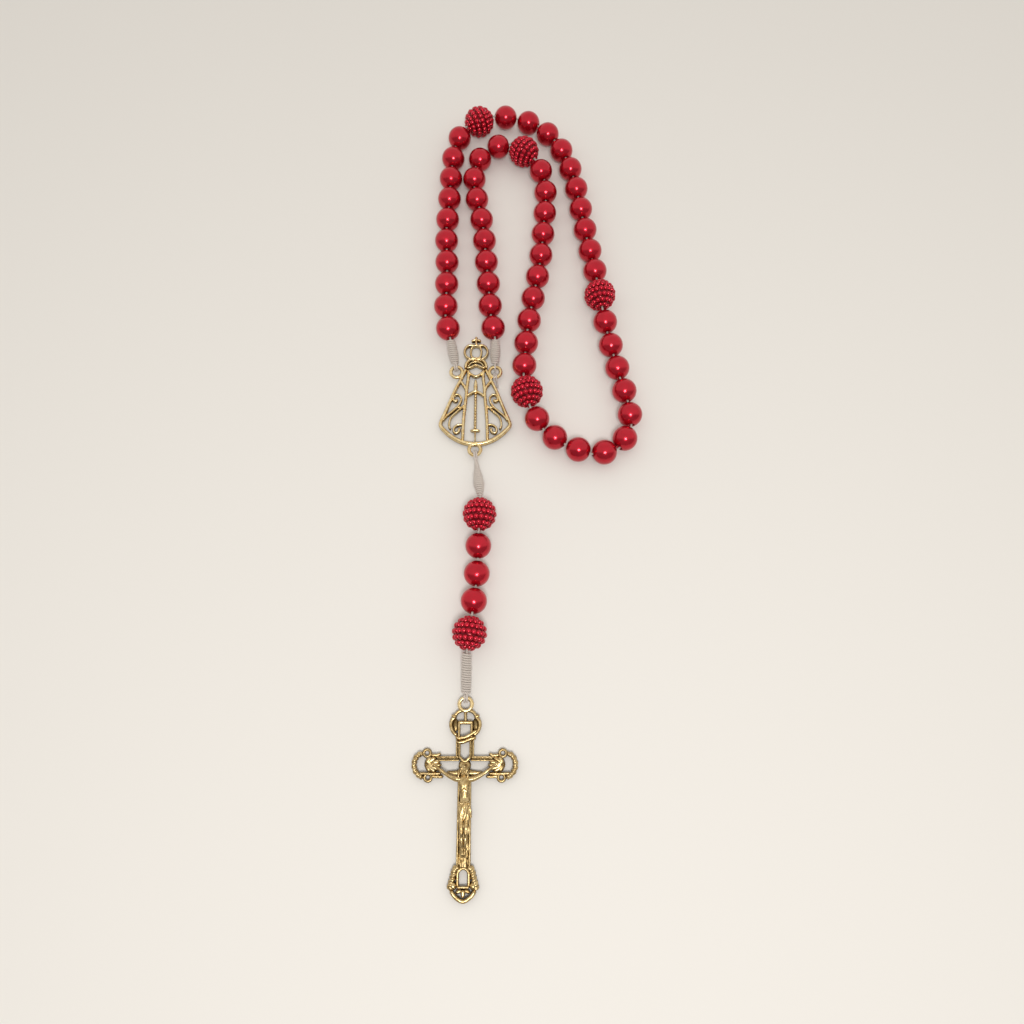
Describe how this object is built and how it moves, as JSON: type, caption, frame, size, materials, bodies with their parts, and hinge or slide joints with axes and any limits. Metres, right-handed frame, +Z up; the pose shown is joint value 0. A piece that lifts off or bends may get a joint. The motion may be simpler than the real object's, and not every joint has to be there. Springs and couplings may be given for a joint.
{
  "type": "rosary",
  "caption": "Corded rosary laid flat: smooth and berry-textured red beads on a knotted loop, a gold openwork centre medal and a short pendant row that ends in a gold crucifix.",
  "frame": {"origin": "on the flat back of the centre medal, on its middle rod", "axes": "+Z up from the table and out of the medal's face, +Y up the medal from the crucifix towards the loop, +X to the right seen from above"},
  "size_m": [0.0532, 0.1986, 0.008],
  "materials": {
    "red_pearl": "polished deep red pearl",
    "berry_pearl": "polished deep red, moulded with small knobs",
    "gold_plate": "gold-plated casting, bright on raised edges and dark in its recesses",
    "cord": "fine waxed thread"
  },
  "bodies": {
    "medal": {"centre_medal": "gold_plate"},
    "left_strand": {"left_strand_cord": "cord"},
    "right_strand": {"right_strand_cord": "cord"},
    "upper_loop": {"loop_cord": "cord"},
    "pendant": {"pendant_cord": "cord"},
    "crucifix": {"crucifix": "gold_plate"},
    "hail_mary_bead_1_01": {"hail_mary_bead_1_01": "red_pearl"},
    "hail_mary_beads_1_02_03": {"hail_mary_beads_1_02_03": "red_pearl"},
    "hail_mary_bead_1_04": {"hail_mary_bead_1_04": "red_pearl"},
    "hail_mary_bead_1_05": {"hail_mary_bead_1_05": "red_pearl"},
    "hail_mary_bead_1_06": {"hail_mary_bead_1_06": "red_pearl"},
    "hail_mary_bead_1_07": {"hail_mary_bead_1_07": "red_pearl"},
    "hail_mary_bead_1_08": {"hail_mary_bead_1_08": "red_pearl"},
    "hail_mary_bead_1_09": {"hail_mary_bead_1_09": "red_pearl"},
    "hail_mary_bead_1_10": {"hail_mary_bead_1_10": "red_pearl"},
    "our_father_bead_1": {"our_father_bead_1": "berry_pearl"},
    "hail_mary_bead_2_01": {"hail_mary_bead_2_01": "red_pearl"},
    "hail_mary_bead_2_02": {"hail_mary_bead_2_02": "red_pearl"},
    "hail_mary_bead_2_03": {"hail_mary_bead_2_03": "red_pearl"},
    "hail_mary_bead_2_04": {"hail_mary_bead_2_04": "red_pearl"},
    "hail_mary_bead_2_05": {"hail_mary_bead_2_05": "red_pearl"},
    "hail_mary_bead_2_06": {"hail_mary_bead_2_06": "red_pearl"},
    "hail_mary_beads_2_07_08": {"hail_mary_beads_2_07_08": "red_pearl"},
    "hail_mary_bead_2_09": {"hail_mary_bead_2_09": "red_pearl"},
    "hail_mary_bead_2_10": {"hail_mary_bead_2_10": "red_pearl"},
    "our_father_bead_2": {"our_father_bead_2": "berry_pearl"},
    "hail_mary_bead_3_01": {"hail_mary_bead_3_01": "red_pearl"},
    "hail_mary_beads_3_02_03": {"hail_mary_beads_3_02_03": "red_pearl"},
    "hail_mary_bead_3_04": {"hail_mary_bead_3_04": "red_pearl"},
    "hail_mary_bead_3_05": {"hail_mary_bead_3_05": "red_pearl"},
    "hail_mary_bead_3_06": {"hail_mary_bead_3_06": "red_pearl"},
    "hail_mary_bead_3_07": {"hail_mary_bead_3_07": "red_pearl"},
    "hail_mary_bead_3_08": {"hail_mary_bead_3_08": "red_pearl"},
    "hail_mary_bead_3_09": {"hail_mary_bead_3_09": "red_pearl"},
    "hail_mary_bead_3_10": {"hail_mary_bead_3_10": "red_pearl"},
    "our_father_bead_3": {"our_father_bead_3": "berry_pearl"},
    "hail_mary_bead_4_01": {"hail_mary_bead_4_01": "red_pearl"},
    "hail_mary_bead_4_02": {"hail_mary_bead_4_02": "red_pearl"},
    "hail_mary_bead_4_03": {"hail_mary_bead_4_03": "red_pearl"},
    "hail_mary_beads_4_04_05": {"hail_mary_beads_4_04_05": "red_pearl"},
    "hail_mary_bead_4_06": {"hail_mary_bead_4_06": "red_pearl"},
    "hail_mary_bead_4_07": {"hail_mary_bead_4_07": "red_pearl"},
    "hail_mary_bead_4_08": {"hail_mary_bead_4_08": "red_pearl"},
    "hail_mary_bead_4_09": {"hail_mary_bead_4_09": "red_pearl"},
    "hail_mary_bead_4_10": {"hail_mary_bead_4_10": "red_pearl"},
    "our_father_bead_4": {"our_father_bead_4": "berry_pearl"},
    "hail_mary_bead_5_01": {"hail_mary_bead_5_01": "red_pearl"},
    "hail_mary_bead_5_02": {"hail_mary_bead_5_02": "red_pearl"},
    "hail_mary_bead_5_03": {"hail_mary_bead_5_03": "red_pearl"},
    "hail_mary_bead_5_04": {"hail_mary_bead_5_04": "red_pearl"},
    "hail_mary_bead_5_05": {"hail_mary_bead_5_05": "red_pearl"},
    "hail_mary_bead_5_06": {"hail_mary_bead_5_06": "red_pearl"},
    "hail_mary_bead_5_07": {"hail_mary_bead_5_07": "red_pearl"},
    "hail_mary_beads_5_08_09": {"hail_mary_beads_5_08_09": "red_pearl"},
    "hail_mary_bead_5_10": {"hail_mary_bead_5_10": "red_pearl"},
    "pendant_our_father_bead_1": {"pendant_our_father_bead_1": "berry_pearl"},
    "pendant_hail_mary_bead_1": {"pendant_hail_mary_bead_1": "red_pearl"},
    "pendant_hail_mary_bead_2": {"pendant_hail_mary_bead_2": "red_pearl"},
    "pendant_hail_mary_bead_3": {"pendant_hail_mary_bead_3": "red_pearl"},
    "pendant_our_father_bead_2": {"pendant_our_father_bead_2": "berry_pearl"}
  },
  "joints": [
    {"name": "loop_sway", "type": "hinge", "parent": "medal", "child": "left_strand", "pos_m": [-0.00486, 0.01212, 0.00127], "axis": [0, 0, -1], "range_deg": [-2, 18]},
    {"name": "right_strand_sway", "type": "hinge", "parent": "medal", "child": "right_strand", "pos_m": [0.00478, 0.01213, 0.00127], "axis": [0, 0, -1], "range_deg": [-2, 18]},
    {"name": "upper_loop_turn", "type": "hinge", "parent": "left_strand", "child": "upper_loop", "pos_m": [-0.00806, 0.05132, 0.003], "axis": [0, 0, -1], "range_deg": [-18, 2]},
    {"name": "pendant_swing", "type": "hinge", "parent": "medal", "child": "pendant", "pos_m": [0.00005, -0.00923, 0.00127], "axis": [0, 0, 1], "range_deg": [-35, 35]},
    {"name": "crucifix_swing", "type": "hinge", "parent": "pendant", "child": "crucifix", "pos_m": [-0.00126, -0.06834, 0.00127], "axis": [0, 0, 1], "range_deg": [-45, 45]},
    {"name": "spin_hail_mary_bead_1_01", "type": "hinge", "parent": "left_strand", "child": "hail_mary_bead_1_01", "pos_m": [-0.00704, 0.02287, 0.003], "axis": [-0.2177, 0.976, 0], "continuous": true},
    {"name": "spin_hail_mary_beads_1_02_03", "type": "hinge", "parent": "left_strand", "child": "hail_mary_beads_1_02_03", "pos_m": [-0.00766, 0.03233, 0.003], "axis": [0.012, 0.9999, 0], "continuous": true},
    {"name": "spin_hail_mary_bead_1_04", "type": "hinge", "parent": "left_strand", "child": "hail_mary_bead_1_04", "pos_m": [-0.00769, 0.04183, 0.003], "axis": [-0.0336, 0.9994, 0], "continuous": true},
    {"name": "spin_hail_mary_bead_1_05", "type": "hinge", "parent": "left_strand", "child": "hail_mary_bead_1_05", "pos_m": [-0.00793, 0.04816, 0.003], "axis": [-0.0422, 0.9991, 0], "continuous": true},
    {"name": "spin_hail_mary_bead_1_06", "type": "hinge", "parent": "upper_loop", "child": "hail_mary_bead_1_06", "pos_m": [-0.00781, 0.05448, 0.003], "axis": [0.0809, 0.9967, 0], "continuous": true},
    {"name": "spin_hail_mary_bead_1_07", "type": "hinge", "parent": "upper_loop", "child": "hail_mary_bead_1_07", "pos_m": [-0.00745, 0.0608, 0.003], "axis": [0.0314, 0.9995, 0], "continuous": true},
    {"name": "spin_hail_mary_bead_1_08", "type": "hinge", "parent": "upper_loop", "child": "hail_mary_bead_1_08", "pos_m": [-0.0072, 0.06712, 0.003], "axis": [0.0489, 0.9988, 0], "continuous": true},
    {"name": "spin_hail_mary_bead_1_09", "type": "hinge", "parent": "upper_loop", "child": "hail_mary_bead_1_09", "pos_m": [-0.00671, 0.07344, 0.003], "axis": [0.1059, 0.9944, 0], "continuous": true},
    {"name": "spin_hail_mary_bead_1_10", "type": "hinge", "parent": "upper_loop", "child": "hail_mary_bead_1_10", "pos_m": [-0.00508, 0.07955, 0.0035], "axis": [0.3953, 0.9056, 0.1534], "continuous": true},
    {"name": "spin_our_father_bead_1", "type": "hinge", "parent": "upper_loop", "child": "our_father_bead_1", "pos_m": [0.00014, 0.0844, 0.004], "axis": [0.8998, 0.4362, 0], "continuous": true},
    {"name": "spin_hail_mary_bead_2_01", "type": "hinge", "parent": "upper_loop", "child": "hail_mary_bead_2_01", "pos_m": [0.00726, 0.08624, 0.0035], "axis": [0.9876, -0.0221, -0.1553], "continuous": true},
    {"name": "spin_hail_mary_bead_2_02", "type": "hinge", "parent": "upper_loop", "child": "hail_mary_bead_2_02", "pos_m": [0.01341, 0.08492, 0.003], "axis": [0.9217, -0.388, 0], "continuous": true},
    {"name": "spin_hail_mary_bead_2_03", "type": "hinge", "parent": "upper_loop", "child": "hail_mary_bead_2_03", "pos_m": [0.01857, 0.08125, 0.003], "axis": [0.6714, -0.7411, 0], "continuous": true},
    {"name": "spin_hail_mary_bead_2_04", "type": "hinge", "parent": "upper_loop", "child": "hail_mary_bead_2_04", "pos_m": [0.02216, 0.076, 0.003], "axis": [0.4439, -0.8961, 0], "continuous": true},
    {"name": "spin_hail_mary_bead_2_05", "type": "hinge", "parent": "upper_loop", "child": "hail_mary_bead_2_05", "pos_m": [0.02446, 0.0701, 0.003], "axis": [0.2788, -0.9603, 0], "continuous": true},
    {"name": "spin_hail_mary_bead_2_06", "type": "hinge", "parent": "upper_loop", "child": "hail_mary_bead_2_06", "pos_m": [0.02589, 0.06393, 0.003], "axis": [0.1727, -0.985, 0], "continuous": true},
    {"name": "spin_hail_mary_beads_2_07_08", "type": "hinge", "parent": "upper_loop", "child": "hail_mary_beads_2_07_08", "pos_m": [0.02741, 0.05456, 0.003], "axis": [0.1544, -0.988, 0], "continuous": true},
    {"name": "spin_hail_mary_bead_2_09", "type": "hinge", "parent": "upper_loop", "child": "hail_mary_bead_2_09", "pos_m": [0.02902, 0.0452, 0.003], "axis": [0.1975, -0.9803, 0], "continuous": true},
    {"name": "spin_hail_mary_bead_2_10", "type": "hinge", "parent": "upper_loop", "child": "hail_mary_bead_2_10", "pos_m": [0.03006, 0.03896, 0.0035], "axis": [0.1297, -0.9792, 0.1558], "continuous": true},
    {"name": "spin_our_father_bead_2", "type": "hinge", "parent": "upper_loop", "child": "our_father_bead_2", "pos_m": [0.03106, 0.03168, 0.004], "axis": [0.1418, -0.9899, 0], "continuous": true},
    {"name": "spin_hail_mary_bead_3_01", "type": "hinge", "parent": "upper_loop", "child": "hail_mary_bead_3_01", "pos_m": [0.03222, 0.02444, 0.0035], "axis": [0.1767, -0.9718, -0.156], "continuous": true},
    {"name": "spin_hail_mary_beads_3_02_03", "type": "hinge", "parent": "upper_loop", "child": "hail_mary_beads_3_02_03", "pos_m": [0.03417, 0.01515, 0.003], "axis": [0.2186, -0.9758, 0], "continuous": true},
    {"name": "spin_hail_mary_bead_3_04", "type": "hinge", "parent": "upper_loop", "child": "hail_mary_bead_3_04", "pos_m": [0.03637, 0.00592, 0.003], "axis": [0.2558, -0.9667, 0], "continuous": true},
    {"name": "spin_hail_mary_bead_3_05", "type": "hinge", "parent": "upper_loop", "child": "hail_mary_bead_3_05", "pos_m": [0.03748, -0.00033, 0.003], "axis": [0.096, -0.9954, 0], "continuous": true},
    {"name": "spin_hail_mary_bead_3_06", "type": "hinge", "parent": "upper_loop", "child": "hail_mary_bead_3_06", "pos_m": [0.03605, -0.00654, 0.003], "axis": [-0.5, -0.866, 0], "continuous": true},
    {"name": "spin_hail_mary_bead_3_07", "type": "hinge", "parent": "upper_loop", "child": "hail_mary_bead_3_07", "pos_m": [0.03102, -0.01006, 0.003], "axis": [-0.9883, -0.1528, 0], "continuous": true},
    {"name": "spin_hail_mary_bead_3_08", "type": "hinge", "parent": "upper_loop", "child": "hail_mary_bead_3_08", "pos_m": [0.02479, -0.00937, 0.003], "axis": [-0.926, 0.3775, 0], "continuous": true},
    {"name": "spin_hail_mary_bead_3_09", "type": "hinge", "parent": "upper_loop", "child": "hail_mary_bead_3_09", "pos_m": [0.01925, -0.00629, 0.003], "axis": [-0.8111, 0.5849, 0], "continuous": true},
    {"name": "spin_hail_mary_bead_3_10", "type": "hinge", "parent": "upper_loop", "child": "hail_mary_bead_3_10", "pos_m": [0.01499, -0.00167, 0.0035], "axis": [-0.5091, 0.8467, 0.1545], "continuous": true},
    {"name": "spin_our_father_bead_3", "type": "hinge", "parent": "upper_loop", "child": "our_father_bead_3", "pos_m": [0.01256, 0.00523, 0.004], "axis": [-0.1846, 0.9828, 0], "continuous": true},
    {"name": "spin_hail_mary_bead_4_01", "type": "hinge", "parent": "upper_loop", "child": "hail_mary_bead_4_01", "pos_m": [0.01199, 0.01254, 0.0035], "axis": [0.0667, 0.9855, -0.156], "continuous": true},
    {"name": "spin_hail_mary_bead_4_02", "type": "hinge", "parent": "upper_loop", "child": "hail_mary_bead_4_02", "pos_m": [0.01248, 0.01885, 0.003], "axis": [0.085, 0.9964, 0], "continuous": true},
    {"name": "spin_hail_mary_bead_4_03", "type": "hinge", "parent": "upper_loop", "child": "hail_mary_bead_4_03", "pos_m": [0.01324, 0.02514, 0.003], "axis": [0.1552, 0.9879, 0], "continuous": true},
    {"name": "spin_hail_mary_beads_4_04_05", "type": "hinge", "parent": "upper_loop", "child": "hail_mary_beads_4_04_05", "pos_m": [0.01488, 0.03449, 0.003], "axis": [0.1818, 0.9833, 0], "continuous": true},
    {"name": "spin_hail_mary_bead_4_06", "type": "hinge", "parent": "upper_loop", "child": "hail_mary_bead_4_06", "pos_m": [0.01638, 0.04386, 0.003], "axis": [0.1116, 0.9938, 0], "continuous": true},
    {"name": "spin_hail_mary_bead_4_07", "type": "hinge", "parent": "upper_loop", "child": "hail_mary_bead_4_07", "pos_m": [0.01698, 0.05016, 0.003], "axis": [0.0771, 0.997, 0], "continuous": true},
    {"name": "spin_hail_mary_bead_4_08", "type": "hinge", "parent": "upper_loop", "child": "hail_mary_bead_4_08", "pos_m": [0.01752, 0.05647, 0.003], "axis": [0.0939, 0.9956, 0], "continuous": true},
    {"name": "spin_hail_mary_bead_4_09", "type": "hinge", "parent": "upper_loop", "child": "hail_mary_bead_4_09", "pos_m": [0.01777, 0.06282, 0.003], "axis": [-0.0157, 0.9999, 0], "continuous": true},
    {"name": "spin_hail_mary_bead_4_10", "type": "hinge", "parent": "upper_loop", "child": "hail_mary_bead_4_10", "pos_m": [0.01661, 0.06904, 0.0035], "axis": [-0.3396, 0.928, 0.1533], "continuous": true},
    {"name": "spin_our_father_bead_4", "type": "hinge", "parent": "upper_loop", "child": "our_father_bead_4", "pos_m": [0.01213, 0.07482, 0.004], "axis": [-0.7753, 0.6316, 0], "continuous": true},
    {"name": "spin_hail_mary_bead_5_01", "type": "hinge", "parent": "upper_loop", "child": "hail_mary_bead_5_01", "pos_m": [0.00533, 0.07682, 0.0035], "axis": [-0.9672, -0.211, -0.1412], "continuous": true},
    {"name": "spin_hail_mary_bead_5_02", "type": "hinge", "parent": "upper_loop", "child": "hail_mary_bead_5_02", "pos_m": [0.00044, 0.07309, 0.003], "axis": [-0.4408, -0.8976, 0], "continuous": true},
    {"name": "spin_hail_mary_bead_5_03", "type": "hinge", "parent": "upper_loop", "child": "hail_mary_bead_5_03", "pos_m": [-0.00099, 0.06692, 0.003], "axis": [0.0094, -1, 0], "continuous": true},
    {"name": "spin_hail_mary_bead_5_04", "type": "hinge", "parent": "upper_loop", "child": "hail_mary_bead_5_04", "pos_m": [-0.00023, 0.06065, 0.003], "axis": [0.2311, -0.9729, 0], "continuous": true},
    {"name": "spin_hail_mary_bead_5_05", "type": "hinge", "parent": "upper_loop", "child": "hail_mary_bead_5_05", "pos_m": [0.00104, 0.05445, 0.003], "axis": [0.1698, -0.9855, 0], "continuous": true},
    {"name": "spin_hail_mary_bead_5_06", "type": "hinge", "parent": "right_strand", "child": "hail_mary_bead_5_06", "pos_m": [0.00184, 0.04818, 0.003], "axis": [-0.0826, 0.9966, 0], "continuous": true},
    {"name": "spin_hail_mary_bead_5_07", "type": "hinge", "parent": "right_strand", "child": "hail_mary_bead_5_07", "pos_m": [0.00239, 0.04188, 0.003], "axis": [-0.0919, 0.9958, 0], "continuous": true},
    {"name": "spin_hail_mary_beads_5_08_09", "type": "hinge", "parent": "right_strand", "child": "hail_mary_beads_5_08_09", "pos_m": [0.00319, 0.03244, 0.003], "axis": [-0.0809, 0.9967, 0], "continuous": true},
    {"name": "spin_hail_mary_bead_5_10", "type": "hinge", "parent": "right_strand", "child": "hail_mary_bead_5_10", "pos_m": [0.00424, 0.02302, 0.003], "axis": [-0.1697, 0.9855, 0], "continuous": true},
    {"name": "spin_pendant_our_father_bead_1", "type": "hinge", "parent": "pendant", "child": "pendant_our_father_bead_1", "pos_m": [0.00142, -0.02577, 0.004], "axis": [-0.0297, -0.9996, 0], "continuous": true},
    {"name": "spin_pendant_hail_mary_bead_1", "type": "hinge", "parent": "pendant", "child": "pendant_hail_mary_bead_1", "pos_m": [0.0012, -0.03321, 0.0035], "axis": [-0.0293, -0.9877, -0.1535], "continuous": true},
    {"name": "spin_pendant_hail_mary_bead_2", "type": "hinge", "parent": "pendant", "child": "pendant_hail_mary_bead_2", "pos_m": [0.00089, -0.03964, 0.003], "axis": [-0.0665, -0.9978, 0], "continuous": true},
    {"name": "spin_pendant_hail_mary_bead_3", "type": "hinge", "parent": "pendant", "child": "pendant_hail_mary_bead_3", "pos_m": [0.00034, -0.04605, 0.0035], "axis": [-0.104, -0.9827, 0.1535], "continuous": true},
    {"name": "spin_pendant_our_father_bead_2", "type": "hinge", "parent": "pendant", "child": "pendant_our_father_bead_2", "pos_m": [-0.00053, -0.05344, 0.004], "axis": [-0.1239, -0.9923, 0], "continuous": true}
  ],
  "couplings": [
    {"joint": "right_strand_sway", "follows": "loop_sway", "ratio": 1},
    {"joint": "upper_loop_turn", "follows": "loop_sway", "ratio": -1}
  ]
}
